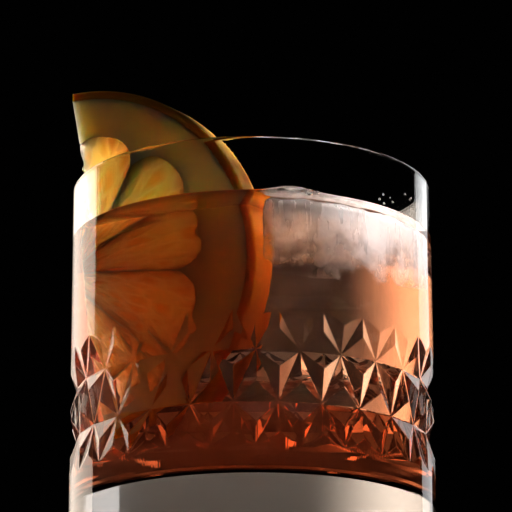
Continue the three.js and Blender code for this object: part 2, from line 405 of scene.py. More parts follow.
# %% [markdown]
# ## The cut band
# A glass cutter holds the wall to a V-shaped wheel: two level grooves and two sets of slanting ones cross,
# and leave low three-sided pyramids whose tops are the old round wall. The grooves could be cut
# out one by one, but that leaves ragged faces. Instead one repeat is drawn from its corners, and a spin
# with duplicates makes 26 of it. Where a groove runs out into the plain wall its edge is an arc, so those
# edges get extra corners on the round.

# %% One repeat of the cut band
def on_wall(radius, turn, z):
    angle = PATTERN_START + turn * REPEAT_ANGLE
    return Vector((radius * math.sin(angle), -radius * math.cos(angle), z))


def arc_corners(bm, deep, first, last, turn_first, turn_last):
    """Corners where a groove's flat side runs out on the round wall, both ends included."""
    across = (first.co - deep.co).cross(last.co - deep.co)
    inner = []
    for step in range(1, ARC_STEPS):
        point = on_wall(GLASS_RADIUS, mix(turn_first, turn_last, step / ARC_STEPS), 0)
        point.z = (across.dot(deep.co) - across.dot(point)) / across.z
        inner.append(bm.verts.new(point))
    return [first, *inner, last]


def pyramid(bm, corners, apex):
    for i in range(3):
        bm.faces.new((corners[i], corners[(i + 1) % 3], apex))


def cut_repeat(bm):
    """The facets of one repeat. Returns the two rows of corners where the plain wall starts."""
    def corner(radius, turn, z):
        return bm.verts.new(on_wall(radius, turn, z))

    deep = GLASS_RADIUS - GROOVE_DEPTH
    upper = [corner(deep, turn, UPPER_CROSSINGS_Z) for turn in (0, 1)]
    lower = [corner(deep, turn, LOWER_CROSSINGS_Z) for turn in (-0.5, 0.5)]
    upper_tips = [corner(GLASS_RADIUS, turn, UPPER_TIPS_Z) for turn in (-0.5, 0.5)]
    lower_tips = [corner(GLASS_RADIUS, turn, LOWER_TIPS_Z) for turn in (0, 1)]
    tip_apex_z = mix(UPPER_CROSSINGS_Z, UPPER_TIPS_Z, TIP_APEX_SHARE)
    wall_apex = corner(GLASS_RADIUS, 0, mix(UPPER_CROSSINGS_Z, UPPER_TIPS_Z, WALL_APEX_SHARE))
    low_tip_apex_z = mix(LOWER_CROSSINGS_Z, LOWER_TIPS_Z, TIP_APEX_SHARE)
    low_wall_apex = corner(GLASS_RADIUS, 0.5, mix(LOWER_CROSSINGS_Z, LOWER_TIPS_Z, WALL_APEX_SHARE))
    up_apex_z = mix(LOWER_CROSSINGS_Z, UPPER_CROSSINGS_Z, MIDDLE_APEX_SHARE)
    down_apex_z = mix(UPPER_CROSSINGS_Z, LOWER_CROSSINGS_Z, MIDDLE_APEX_SHARE)

    pyramid(bm, (upper[0], upper[1], upper_tips[1]), corner(GLASS_RADIUS, 0.5, tip_apex_z))
    pyramid(bm, (lower[0], lower[1], upper[0]), corner(GLASS_RADIUS, 0, up_apex_z))
    pyramid(bm, (upper[0], upper[1], lower[1]), corner(GLASS_RADIUS, 0.5, down_apex_z))
    pyramid(bm, (lower[0], lower[1], lower_tips[0]), corner(GLASS_RADIUS, 0, low_tip_apex_z))

    upper_left = arc_corners(bm, upper[0], upper_tips[0], wall_apex, -0.5, 0)
    upper_right = arc_corners(bm, upper[0], wall_apex, upper_tips[1], 0, 0.5)
    lower_left = arc_corners(bm, lower[1], lower_tips[0], low_wall_apex, 0, 0.5)
    lower_right = arc_corners(bm, lower[1], low_wall_apex, lower_tips[1], 0.5, 1)
    bm.faces.new((upper[0], *upper_left))
    bm.faces.new((upper[0], *upper_right))
    bm.faces.new((lower[1], *lower_left))
    bm.faces.new((lower[1], *lower_right))
    return upper_left + upper_right[1:], lower_left + lower_right[1:]


# %% [markdown]
# ## The plain wall, the rim and the floor
# A plain glass could be one spin of its section. Here the wall starts from the last facets, whose corners
# aren't level, so it is a sweep: the open edge is extruded again and again, and each new row of corners is
# moved to the next radius and height of the tumbler's section.

# %% Section of the tumbler
WET_LINE = DRINK_LEVEL + CLIMB_AT_WALL
BAND_MARGIN = 2 * MM
RIM_STEPS = 8
FILLET_STEPS = 10
CHAMFER_STEPS = 5


def arc(centre, radius, start, end, steps):
    """Radius and height pairs along an arc of the section, angles in degrees."""
    points = []
    for step in range(steps + 1):
        angle = math.radians(mix(start, end, step / steps))
        points.append((centre[0] + radius * math.cos(angle), centre[1] + radius * math.sin(angle)))
    return points


upper_section = [(GLASS_RADIUS, UPPER_TIPS_Z + BAND_MARGIN)]
upper_section += arc((GLASS_RADIUS - RIM_ROUND, GLASS_HEIGHT - RIM_ROUND), RIM_ROUND, 0, 180, RIM_STEPS)
upper_section += [(inner_radius(WET_LINE), WET_LINE)]
upper_section += arc(FILLET_CENTRE, INNER_FILLET, 0, -90, FILLET_STEPS)
upper_section += [(FILLET_CENTRE[0] / 2, FLOOR_THICKNESS), (0, FLOOR_THICKNESS)]
foot_centre = (GLASS_RADIUS - FOOT_CHAMFER, FOOT_CHAMFER)
foot_section = [(GLASS_RADIUS, LOWER_TIPS_Z - BAND_MARGIN)]
foot_section += arc(foot_centre, FOOT_CHAMFER, 0, -90, CHAMFER_STEPS)
foot_section += [(foot_centre[0] / 2, 0), (0, 0)]


def sweep(bm, corners, section):
    """Extrudes the open edge through the points of the section, each corner keeping its direction."""
    edges = [bm.edges.get(pair) for pair in zip(corners, corners[1:])]
    for radius, z in section:
        result = bmesh.ops.extrude_edge_only(bm, edges=edges)
        edges = edges_of(result)
        for vertex in verts_of(result):
            direction = vertex.co.xy.normalized()
            vertex.co = (direction.x * radius, direction.y * radius, z)


print("rows above and below the band:", len(upper_section), len(foot_section))

# %% [markdown]
# ## Polished edges
# After cutting, the facets are polished, which breaks their edges by a hair. Those hairlines catch the light
# and make cut glass sparkle. Smooth shading would blur the facets, so they stay flat and only the sharp
# edges between them get a narrow bevel.

# %% Build the tumbler
EDGE_POLISH = 0.16 * MM
POLISH_SEGMENTS = 2
SHARPEST_SMOOTH = math.radians(12)
GLASS_TINT = (0.97, 0.985, 0.98)


def glass_bend(face):
    """Where the drink touches the inside, light goes from glass into drink."""
    middle = face.calc_center_median()
    inside = middle.xy.length < inner_radius(middle.z) + OVERLAP / 2 and middle.z > FLOOR_THICKNESS - OVERLAP
    wet = middle.z < drink_height(middle)
    return GLASS_IOR / DRINK_IOR if inside and wet else GLASS_IOR


def sharp_edges(bm, facet):
    """The edges round the facets that are sharp enough to be polished."""
    edges = []
    for edge in bm.edges:
        if len(edge.link_faces) != 2:
            continue
        facets = sum(face[facet] for face in edge.link_faces)
        if facets and edge.calc_face_angle() > SHARPEST_SMOOTH:
            edges.append(edge)
    return edges


def build_tumbler():
    bm = bmesh.new()
    upper_row, lower_row = cut_repeat(bm)
    facet = bm.faces.layers.int.new("facet")
    for face in bm.faces:
        face[facet] = 1
    sweep(bm, upper_row, upper_section)
    sweep(bm, lower_row, foot_section)
    bmesh.ops.spin(bm, geom=whole_of(bm), cent=(0, 0, 0), axis=(0, 0, 1), angle=REPEAT_ANGLE * (REPEATS - 1),
                   steps=REPEATS - 1, use_duplicate=True, use_merge=False)
    bmesh.ops.remove_doubles(bm, verts=bm.verts[:], dist=WELD)
    for vertex in bm.verts:
        if abs(vertex.co.z - WET_LINE) < NEAR and vertex.co.xy.length < GLASS_RADIUS - RIM_ROUND:
            vertex.co.z = drink_height(vertex.co)
    bmesh.ops.recalc_face_normals(bm, faces=bm.faces[:])
    bm.normal_update()
    bmesh.ops.bevel(bm, geom=sharp_edges(bm, facet), offset=EDGE_POLISH, segments=POLISH_SEGMENTS,
                    profile=0.5, affect="EDGES", material=-1)
    for face in bm.faces:
        face.smooth = face[facet] == 0
    set_bend(bm, glass_bend)
    return bm


glass_clear = clear_material("clear_glass", GLASS_TINT)[0]
tumbler = finish_piece("tumbler", build_tumbler(), glass_clear, ["glass"])

# %% Measure the tumbler
measured = bmesh.new()
measured.from_mesh(tumbler.data)
open_edges = sum(1 for edge in measured.edges if len(edge.link_faces) != 2)
print("open or doubled edges in the tumbler:", open_edges)
print("glass volume", round(measured.calc_volume() * 1e6, 1), "cm3")
measured.free()

# %% [markdown]
# ## The ice block
# A large clear block, which melts first at its edges. A bevelled cube would look new. So every corner of a
# finely divided cube is pushed out from a smaller core, which rounds the edges, and slow noise makes the
# faces wavy. What stands out of the drink is frosted and streaked, and what is wet is clear.

# %% Ice block
ICE_CUTS = 44
LONG_MELT = 8 * MM
SHORT_MELT = 3 * MM
SHORT_MELT_SHARE = 0.2


def ice_body(grow=0.0):
    """A block with rounded edges whose faces have melted unevenly, in its place in the glass."""
    bm = bmesh.new()
    bmesh.ops.create_cube(bm, size=ICE_SIDE)
    bmesh.ops.subdivide_edges(bm, edges=bm.edges[:], cuts=ICE_CUTS, use_grid_fill=True)
    core = ICE_SIDE / 2 - ICE_EDGE_RADIUS
    for vertex in bm.verts:
        inner = Vector([min(max(c, -core), core) for c in vertex.co])
        outward = (vertex.co - inner).normalized()
        long, short = vertex.co / LONG_MELT, vertex.co / SHORT_MELT
        melt = ICE_MELT * (noise.noise(long) + SHORT_MELT_SHARE * noise.noise(short))
        vertex.co = inner + outward * (ICE_EDGE_RADIUS + melt + grow)
    smooth_all(bm)
    bm.transform(ice_place)
    bmesh.ops.bisect_plane(bm, geom=whole_of(bm), dist=CUT_TOLERANCE,
                           plane_co=(0, 0, DRINK_LEVEL + CLIMB_AT_ICE), plane_no=(0, 0, 1))
    bmesh.ops.recalc_face_normals(bm, faces=bm.faces[:])
    return bm


def ice_bend(face):
    middle = face.calc_center_median()
    return 1.0 if middle.z < drink_height(middle) else ICE_IOR


# %% Finish of the ice block
FROST_START = DRINK_LEVEL - 1.5 * MM
FROST_RISE = 3 * MM
ICE_TINT = (0.98, 0.99, 1)
ICE_STRETCH = (1, 0.1, 1)

clear_ice, tree, shader = clear_material("clear_ice", ICE_TINT)
frost = fade(tree, UP, FROST_START, FROST_START + FROST_RISE)
streaks = remap(tree, mottle(tree, 260, stretch=ICE_STRETCH, detail=5), 0.08, 0.7, 0.35, 0.65)
tree.links.new(combine(tree, "MULTIPLY", frost, streaks), shader.inputs["Roughness"])
bump(tree, shader, mottle(tree, 500, stretch=ICE_STRETCH, detail=4), strength=0.5, distance=0.4 * MM)
block = ice_body()
set_bend(block, ice_bend)
finish_piece("ice_block_clear", block, clear_ice, ["ice_block"])

# %% [markdown]
# ## The sunk shard
# A shard of ice has sunk between the wall and the block. It is full of fine bubbles and cracks, which make
# it look white and streaky. They could be modelled one by one, but from outside they are one white haze. So
# the shard is one body that follows the wall, half clear and half milky, and it fades out downwards. Light
# caught in the frost at its right end would need many paths through the drink, so there the finish gives
# out a little white light of its own.

# %% Sunk shard
SHARD_TURNS = (math.radians(4), math.radians(80))
SHARD_TOP = DRINK_LEVEL - 0.6 * MM
SHARD_HEIGHT = 17 * MM
SHARD_THIN_END = 0.75
SHARD_THICKNESS = 6 * MM
SHARD_OFF_WALL = 1.2 * MM
SHARD_ROUND = 1.6 * MM
SHARD_CUTS = 48
SHARD_MELT = 0.4 * MM
SHARD_MELT_SIZE = 4 * MM
SHARD_PITS = 0.15 * MM
SHARD_PIT_SIZE = 1.2 * MM


def build_shard():
    bm = bmesh.new()
    bmesh.ops.create_cube(bm, size=1)
    bmesh.ops.subdivide_edges(bm, edges=bm.edges[:], cuts=SHARD_CUTS, use_grid_fill=True)
    near_wall = inner_radius(SHARD_TOP) - SHARD_OFF_WALL
    width = (SHARD_TURNS[1] - SHARD_TURNS[0]) * near_wall
    size = Vector((width, SHARD_THICKNESS, SHARD_HEIGHT))
    core = size / 2 - Vector((SHARD_ROUND, SHARD_ROUND, SHARD_ROUND))
    for vertex in bm.verts:
        point = Vector([c * s for c, s in zip(vertex.co, size)])
        inner = Vector([min(max(c, -k), k) for c, k in zip(point, core)])
        outward = (point - inner).normalized()
        pits = SHARD_PITS * noise.noise(point / SHARD_PIT_SIZE)
        melt = SHARD_MELT * noise.noise(point / SHARD_MELT_SIZE) + pits
        point = inner + outward * (SHARD_ROUND + melt)
        turn = mix(*SHARD_TURNS, point.x / width + 0.5)
        radius = near_wall - SHARD_THICKNESS / 2 + point.y
        height = mix(1, SHARD_THIN_END, max(point.x / width, 0) * 2)
        vertex.co = (radius * math.sin(turn), -radius * math.cos(turn),
                     SHARD_TOP + (point.z - SHARD_HEIGHT / 2) * height)
    smooth_all(bm)
    return bm


# %% Finish of the shard
SHARD_FULL = SHARD_TOP - 3 * MM
GLOW_START = 14 * MM
GLOW_FULL = 26 * MM
NO_GLOW = (0.0, 0.0, 0.0)
FROST_GLOW = (0.55, 0.55, 0.58)

frosted_ice, tree, shader = principled(
    "frosted_ice", Base_Color=(1, 1, 1, 1), Transmission_Weight=0.55, IOR=1.2, Emission_Strength=1.0,
    Subsurface_Weight=1.0, Subsurface_Scale=10 * MM, Subsurface_Radius=(1, 1, 1))
rough = remap(tree, mottle(tree, 500, stretch=(1, 1, 0.15), detail=6), 0.1, 0.6, 0.35, 0.65)
tree.links.new(rough, shader.inputs["Roughness"])
bump(tree, shader, mottle(tree, 600, stretch=(1, 1, 0.3), detail=5), strength=0.6, distance=0.5 * MM)
level = fade(tree, UP, SHARD_TOP - SHARD_HEIGHT, SHARD_FULL)
cloudy = remap(tree, mottle(tree, 160, stretch=(1, 1, 0.8), detail=6), -0.3, 0.3, 0.35, 0.65)
shown = remap(tree, combine(tree, "ADD", level, cloudy), 0, 0.95, 0.15, 1.05)
tree.links.new(shown, shader.inputs["Alpha"])
glow = blend_colors(tree, fade(tree, TO_THE_RIGHT, GLOW_START, GLOW_FULL), NO_GLOW, FROST_GLOW)
tree.links.new(glow, shader.inputs["Emission Color"])
finish_piece("ice_shard_frosted", build_shard(), frosted_ice)

# %% [markdown]
# ## The negroni
# The liquid is clear, and its colour comes from how deep the light goes through it. A coloured surface would
# be equally dark everywhere, so the colour is absorption in the volume, with a very thin haze. The body is a
# spin of its section with the room for the ice cut out, and its top follows the surface worked out above.

# %% Build the drink
def build_drink():
    bm = bmesh.new()
    lip = inner_radius(DRINK_LEVEL) + OVERLAP
    section = [(0, FLOOR_THICKNESS - OVERLAP), (FILLET_CENTRE[0] / 2, FLOOR_THICKNESS - OVERLAP)]
    section += arc(FILLET_CENTRE, INNER_FILLET + OVERLAP, -90, 0, DRINK_FILLET_STEPS)
    section += [(lip, DRINK_LEVEL)]
    for ring in range(1, DRINK_RINGS + 1):
        section.append((lip * (1 - ring / DRINK_RINGS) ** RING_CROWDING, DRINK_LEVEL))
    row = [bm.verts.new((0, -radius, z)) for radius, z in section]
    edges = [bm.edges.new(pair) for pair in zip(row, row[1:])]
    bmesh.ops.spin(bm, geom=row + edges, cent=(0, 0, 0), axis=(0, 0, 1), angle=math.tau, steps=DRINK_SIDES,
                   use_merge=True)
    bmesh.ops.remove_doubles(bm, verts=bm.verts[:], dist=WELD)
    set_bend(bm, lambda face: DRINK_IOR if min(v.co.z for v in face.verts) > DRINK_LEVEL - NEAR else 1.0)
    for vertex in bm.verts:
        if abs(vertex.co.z - DRINK_LEVEL) < NEAR:
            vertex.co.z = drink_height(vertex.co)
    smooth_all(bm)
    bmesh.ops.recalc_face_normals(bm, faces=bm.faces[:])
    return bm


def cut_away(bm, tool):
    """The shape without the room that the tool takes."""
    objects = []
    for name, part in (("shape", bm), ("tool", tool)):
        objects.append(bpy.data.objects.new(name, to_mesh(part, name)))
        scene.collection.objects.link(objects[-1])
    cut = objects[0].modifiers.new("cut", "BOOLEAN")
    cut.operation = "DIFFERENCE"
    cut.object = objects[1]
    cut.solver = "EXACT"
    shaped = objects[0].evaluated_get(bpy.context.evaluated_depsgraph_get())
    result = bmesh.new()
    result.from_mesh(shaped.data)
    for part in objects:
        mesh = part.data
        bpy.data.objects.remove(part)
        bpy.data.meshes.remove(mesh)
    return result


# %% Colour of the drink
LIQUID_TINT = (0.87, 0.37, 0.03, 1)
LIQUID_DENSITY = 54.0
HAZE_TINT = (1.0, 0.9, 1.0, 1)
HAZE_DENSITY = 1.5
HAZE_FORWARD = 0.6

liquid, tree, shader = clear_material("negroni_liquid", (1, 1, 1))
absorb = add_node(tree, "ShaderNodeVolumeAbsorption", Color=LIQUID_TINT, Density=LIQUID_DENSITY)
haze = add_node(tree, "ShaderNodeVolumeScatter", Color=HAZE_TINT, Density=HAZE_DENSITY,
                Anisotropy=HAZE_FORWARD)
both = add_node(tree, "ShaderNodeAddShader")
tree.links.new(absorb.outputs["Volume"], both.inputs[0])
tree.links.new(haze.outputs["Volume"], both.inputs[1])
tree.links.new(both.outputs["Shader"], tree.nodes["Material Output"].inputs["Volume"])
room_for_ice = ice_body(-OVERLAP)
set_bend(room_for_ice, lambda face: DRINK_IOR / ICE_IOR)
drink = finish_piece("negroni_drink", cut_away(build_drink(), room_for_ice), liquid, ["drink"],
                     recalculate=False)
bends = [round(value.value, 3) for value in drink.data.attributes["bend"].data]
print("faces by index:", {bend: bends.count(bend) for bend in sorted(set(bends))})

# %% [markdown]
# ## The slice of orange
# A wheel of a large orange, cut 4.6 mm beside its centre. It could be one body with painted zones, but peel,
# pith and flesh take light in very different ways, so they are separate pieces. They are made in one flat
# frame: the cut edge runs along Y, the peel is towards +X and the shown face looks along +Z. The peel is a
# spin of its section, with its outer corners rounded.

# %% Peel
ZEST_DEPTH = 2.1 * MM
ZEST_EDGE = 0.7 * MM
ZEST_STEPS = 200
ZEST_CORNER_STEPS = 4
ZEST_SIDE_STEPS = 8
ZEST_INSIDE = ORANGE_RADIUS - ZEST_DEPTH


def in_place(bm):
    bm.transform(slice_place)
    bmesh.ops.recalc_face_normals(bm, faces=bm.faces[:])
    return bm


def half_turn(section, steps, closed):
    """Spins a section of radius and depth pairs half round the wheel, and cuts it beside the centre."""
    bm = bmesh.new()
    row = [bm.verts.new((0, radius, z)) for radius, z in section]
    pairs = list(zip(row, row[1:] + row[:1])) if closed else list(zip(row, row[1:]))
    edges = [bm.edges.new(pair) for pair in pairs]
    bmesh.ops.spin(bm, geom=row + edges, cent=(0, 0, 0), axis=(0, 0, -1), angle=math.pi, steps=steps)
    bmesh.ops.remove_doubles(bm, verts=bm.verts[:], dist=WELD)
    bmesh.ops.bisect_plane(bm, geom=whole_of(bm), dist=CUT_TOLERANCE,
                           plane_co=(CUT_OFFSET, 0, 0), plane_no=(1, 0, 0), clear_inner=True)
    bmesh.ops.holes_fill(bm, edges=[edge for edge in bm.edges if edge.is_boundary], sides=0)
    bmesh.ops.recalc_face_normals(bm, faces=bm.faces[:])
    return bm


# The peel leans on the wall and is pressed flat where it would pass the left side of the solids' box.
SLICE_LEFT = -42.06 * MM


def build_zest():
    middle = ORANGE_RADIUS - ZEST_EDGE
    section = [(ZEST_INSIDE, 0)]
    section += list(reversed(arc((middle, -ZEST_EDGE), ZEST_EDGE, 0, 90, ZEST_CORNER_STEPS)))
    straight = SLICE_THICKNESS - 2 * ZEST_EDGE
    for step in range(1, ZEST_SIDE_STEPS):
        section.append((ORANGE_RADIUS, -ZEST_EDGE - straight * step / ZEST_SIDE_STEPS))
    lower_middle = (middle, ZEST_EDGE - SLICE_THICKNESS)
    section += list(reversed(arc(lower_middle, ZEST_EDGE, -90, 0, ZEST_CORNER_STEPS)))
    section += [(ZEST_INSIDE, -SLICE_THICKNESS)]
    bm = half_turn(section, ZEST_STEPS, True)
    for face in bm.faces:
        face.smooth = len(face.verts) == 4
    in_place(bm)
    for vertex in bm.verts:
        vertex.co.x = max(vertex.co.x, SLICE_LEFT)
    return bm


# %% Finish of the peel
GLAND_SCALE = 900.0
DEEP_ORANGE = (0.82, 0.30, 0.02)
LIGHT_ORANGE = (0.95, 0.46, 0.05)

zest_skin, tree, shader = principled(
    "orange_zest", Base_Color=(0.80, 0.26, 0.02, 1), Roughness=0.6, Specular_IOR_Level=0.1,
    Subsurface_Weight=0.8, Subsurface_Scale=4 * MM, Subsurface_Radius=(1.0, 0.55, 0.12))
place = add_node(tree, "ShaderNodeTexCoord")
glands = add_node(tree, "ShaderNodeTexVoronoi", Scale=GLAND_SCALE)
tree.links.new(place.outputs["Object"], glands.inputs["Vector"])
bump(tree, shader, glands.outputs["Distance"], strength=0.5, distance=0.25 * MM)
shade = blend_colors(tree, mottle(tree, 120), DEEP_ORANGE, LIGHT_ORANGE)
tree.links.new(shade, shader.inputs["Base Color"])
finish_piece("orange_zest_ring", build_zest(), zest_skin, ["orange_slice"])

# %% [markdown]
# ## The segments
# Inside the pith lie the segments, with thin membranes between them and rounded ends towards the peel. They
# could be cut out of a disc, but then their faces would have no even grid to carry the juice sacks. So each
# segment is a grid bent into its outline and extruded through the slice.

# %% Segments
FLESH_RADIUS = 33.5 * MM
CORE_RADIUS = 2.6 * MM
MEMBRANE = 0.35 * MM
MEMBRANE_ANGLES = [math.radians(angle) for angle in (2, 38, 73, 106, 143, 182)]
NOTCH_ANGLE = math.radians(90)
NOTCH_WIDTH = math.radians(3)
NOTCH_DEPTH = 1.5 * MM
FLESH_RELIEF = 0.3 * MM
SACK_LENGTH = 6.5 * MM
SACK_WIDTH = 2.1 * MM
SACK_RELIEF = 0.5 * MM
RADIAL_STEPS = 76
ACROSS_STEPS = 60
DEPTH_STEPS = 9
ROOM_RADIAL_STEPS = 24
ROOM_ACROSS_STEPS = 20
FAR_SHARE = 0.985
END_ROUNDING = 0.17
CUT_CLEARANCE = 1.1


def segment_turns(first, last, radius):
    """The two turns between which a segment lies at a radius, between its membranes and beyond the cut."""
    gap = MEMBRANE / 2 / radius
    cut = math.asin(min(CUT_OFFSET / radius, 1))
    return max(first + gap, cut), min(last - gap, math.pi - cut)


def segment_point(first, last, along, across):
    """A point of a segment's outline grid. Along runs outwards from 0 to 1, and across from 0 to 1."""
    middle, half = (first + last) / 2, (last - first) / 2
    nearest = min(max(math.pi / 2, first), last)
    near = max(MEMBRANE / 2 / math.sin(half), CORE_RADIUS, CUT_CLEARANCE * CUT_OFFSET / math.sin(nearest))
    turn = mix(*segment_turns(first, last, FLESH_RADIUS), across)
    far = FLESH_RADIUS * (FAR_SHARE - END_ROUNDING * abs((turn - middle) / half) ** 3)
    far -= NOTCH_DEPTH * math.exp(-((turn - NOTCH_ANGLE) / NOTCH_WIDTH) ** 2)
    radius = mix(near, far, along)
    return radius, mix(*segment_turns(first, last, radius), across)


def build_segment(first, last, room=0.0):
    """One segment as a closed solid. Room makes the shape that is cut out of the pith for it."""
    bm = bmesh.new()
    bmesh.ops.create_grid(bm, x_segments=ROOM_RADIAL_STEPS if room else RADIAL_STEPS,
                          y_segments=ROOM_ACROSS_STEPS if room else ACROSS_STEPS, size=0.5)
    for vertex in bm.verts:
        radius, angle = segment_point(first, last, vertex.co.x + 0.5, vertex.co.y + 0.5)
        vertex.co = (radius * math.sin(angle), radius * math.cos(angle), room)
    result = bmesh.ops.extrude_face_region(bm, geom=bm.faces[:])
    bmesh.ops.translate(bm, verts=verts_of(result), vec=(0, 0, -SLICE_THICKNESS - 2 * room))
    if room:
        for vertex in bm.verts:
            if vertex.co.x < CUT_OFFSET + room / 10:
                vertex.co.x -= room
    else:
        upright = []
        for edge in bm.edges:
            if abs(edge.verts[0].co.z - edge.verts[1].co.z) > SLICE_THICKNESS / 2:
                upright.append(edge)
        bmesh.ops.subdivide_edges(bm, edges=upright, cuts=DEPTH_STEPS, use_grid_fill=True)
    bmesh.ops.recalc_face_normals(bm, faces=bm.faces[:])
    return bm


# %% [markdown]
# ## The juice sacks
# A segment is a bundle of small juice sacks that point to the centre, with creases between them. Each sack
# could be its own drop-shaped body, but thousands of them would be heavy. Instead the corners of the faces
# swell between the cells of a Voronoi pattern that is stretched along the radius.

# %% Juice sacks
SACK_FAN = 0.7
CREASE_STEEPNESS = 3
EDGE_SINK_SHARE = 0.5
EDGE_SINK_REACH = 0.6 * MM


def sack_crease(point):
    """Nothing on the line between two juice sacks, and more towards the middle of a sack."""
    angle = math.atan2(point.x, point.y)
    radius = point.xy.length
    along = radius / SACK_LENGTH
    around = angle * FLESH_RADIUS * SACK_FAN / SACK_WIDTH
    near, next_near = noise.voronoi(Vector((along, around, point.z / SACK_WIDTH)))[0][:2]
    return next_near - near


def swell(point, first, last):
    """How a corner of a segment between two turns is pushed out of the face it lies on."""
    radius, angle = point.xy.length, math.atan2(point.x, point.y)
    crease = sack_crease(point)
    puff = FLESH_RELIEF + SACK_RELIEF * (1 - math.exp(-CREASE_STEEPNESS * crease)) - SACK_RELIEF
    to_side = min(angle - first, last - angle) * radius
    to_end = min(radius - CORE_RADIUS, FLESH_RADIUS * FAR_SHARE - radius)
    edge = max(min(to_side - MEMBRANE / 2, to_end), 0)
    puff -= EDGE_SINK_SHARE * FLESH_RELIEF * math.exp(-edge / EDGE_SINK_REACH)
    push = Vector((0, 0, 0))
    if point.z > -NEAR:
        push.z = puff
    elif point.z < NEAR - SLICE_THICKNESS:
        push.z = -puff
    if point.x < CUT_OFFSET + NEAR:
        push.x = -puff
    return push


def build_flesh():
    whole = bmesh.new()
    for first, last in zip(MEMBRANE_ANGLES, MEMBRANE_ANGLES[1:]):
        bm = build_segment(first, last)
        for vertex in bm.verts:
            vertex.co += swell(vertex.co, first, last)
        join_into(whole, bm)
    smooth_all(whole)
    return whole


def write_creases(piece):
    """Keeps how deep in a crease each corner lies, for the finish to read."""
    back = slice_place.inverted()
    layer = piece.data.attributes.new("sack", "FLOAT", "POINT")
    for i, vertex in enumerate(piece.data.vertices):
        layer.data[i].value = min(sack_crease(back @ vertex.co) * 2, 1)


# %% Finish of the flesh
CREASE_COLOR = (1.0, 0.64, 0.34)
SACK_COLOR = (0.92, 0.45, 0.14)

flesh_wet, tree, shader = principled(
    "orange_flesh", Base_Color=(0.95, 0.5, 0.06, 1), Roughness=0.15, IOR=1.38, Coat_Weight=0.5,
    Coat_Roughness=0.05, Subsurface_Weight=1.0, Subsurface_Scale=40 * MM,
    Subsurface_Radius=(1.0, 0.56, 0.42))
sack = add_node(tree, "ShaderNodeAttribute", attribute_name="sack")
shade = blend_colors(tree, sack.outputs["Fac"], CREASE_COLOR, SACK_COLOR)
tree.links.new(shade, shader.inputs["Base Color"])
bump(tree, shader, mottle(tree, 900), strength=0.15, distance=0.1 * MM)
flesh = finish_piece("orange_flesh", in_place(build_flesh()), flesh_wet, ["orange_slice"])
write_creases(flesh)

# %% [markdown]
# ## The pith
# The pith is the pale, soft layer under the peel, and it goes on between the segments as their membranes. It
# could be a plain ring, but then the membranes would be missing. So it is a whole disc with a room cut out
# for every segment, and what is left between two rooms is a membrane.

# %% Pith
PITH_STEPS = 120
ROOM_BEYOND = 1 * MM
PITH_SHADE = (0.86, 0.66, 0.38)
PITH_LIGHT = (0.94, 0.80, 0.55)


def build_pith():
    inside = ZEST_INSIDE + OVERLAP
    section = [(0, 0), (inside, 0), (inside, -SLICE_THICKNESS), (0, -SLICE_THICKNESS)]
    rooms = bmesh.new()
    for first, last in zip(MEMBRANE_ANGLES, MEMBRANE_ANGLES[1:]):
        join_into(rooms, build_segment(first, last, ROOM_BEYOND))
    return in_place(cut_away(half_turn(section, PITH_STEPS, False), rooms))


pith_soft, tree, shader = principled(
    "orange_pith", Base_Color=(0.86, 0.62, 0.32, 1), Roughness=0.6, Subsurface_Weight=1.0,
    Subsurface_Scale=10 * MM, Subsurface_Radius=(1.0, 0.8, 0.5))
shade = blend_colors(tree, mottle(tree, 260, detail=4), PITH_SHADE, PITH_LIGHT)
tree.links.new(shade, shader.inputs["Base Color"])
bump(tree, shader, mottle(tree, 1500, detail=3), strength=0.2, distance=0.1 * MM)
finish_piece("orange_pith", build_pith(), pith_soft, ["orange_slice"])

# %% [markdown]
# ## Beads of juice and drink
# Juice stands in beads on the cut edge of the fruit, a few drops cling inside the glass above the drink, and
# two bubbles ride at its edge. They could be bumps of a finish, but then no light would go through them. So
# each is a small ball: beads and drops are drawn out upright, and the bubbles are pressed a little flat.

# %% Beads
BEAD_MIN = 0.25 * MM
BEAD_MAX = 0.6 * MM
CUT_BEADS = 70
WALL_BEADS = 26
BEAD_SQUASH = (1, 1, 1.5)
DROP_SQUASH = (1, 1, 1.6)
DROP_SINK = 0.3
BUBBLE_SQUASH = (1, 1, 0.8)
BUBBLES = ((12.6 * MM, 1.0 * MM), (14.4 * MM, 0.5 * MM))
BUBBLE_RISE = 0.2 * MM
random.seed(7)


def add_bead(bm, centre, radius, squash):
    place = Matrix.Translation(centre) @ Matrix.Diagonal((*squash, 1))
    bmesh.ops.create_icosphere(bm, subdivisions=2, radius=radius, matrix=place)


def build_beads():
    bm = bmesh.new()
    for _ in range(CUT_BEADS):
        along = random.uniform(12 * MM, FLESH_RADIUS - 2 * MM)
        depth = -random.uniform(0.3 * MM, SLICE_THICKNESS - 0.3 * MM)
        radius = random.uniform(BEAD_MIN, BEAD_MAX)
        add_bead(bm, slice_place @ Vector((CUT_OFFSET - 0.1 * MM, along, depth)), radius, BEAD_SQUASH)
    for _ in range(WALL_BEADS):
        turn = math.radians(random.uniform(40, 78))
        z = DRINK_LEVEL + random.uniform(1.5 * MM, 6 * MM)
        radius = random.uniform(0.6, 1) * BEAD_MIN
        wall = inner_radius(z) - radius * DROP_SINK
        add_bead(bm, Vector((wall * math.sin(turn), -wall * math.cos(turn), z)), radius, DROP_SQUASH)
    for x, size in BUBBLES:
        wall = inner_radius(DRINK_LEVEL) - size
        y = -math.sqrt(wall ** 2 - x ** 2)
        add_bead(bm, Vector((x, y, drink_height(Vector((x, y, 0))) + BUBBLE_RISE)), size, BUBBLE_SQUASH)
    smooth_all(bm)
    return bm


clear_drop = principled("clear_drop", Base_Color=(1, 1, 1, 1), Transmission_Weight=1.0, Roughness=0.0,
                        IOR=1.34)[0]
finish_piece("juice_beads", build_beads(), clear_drop)

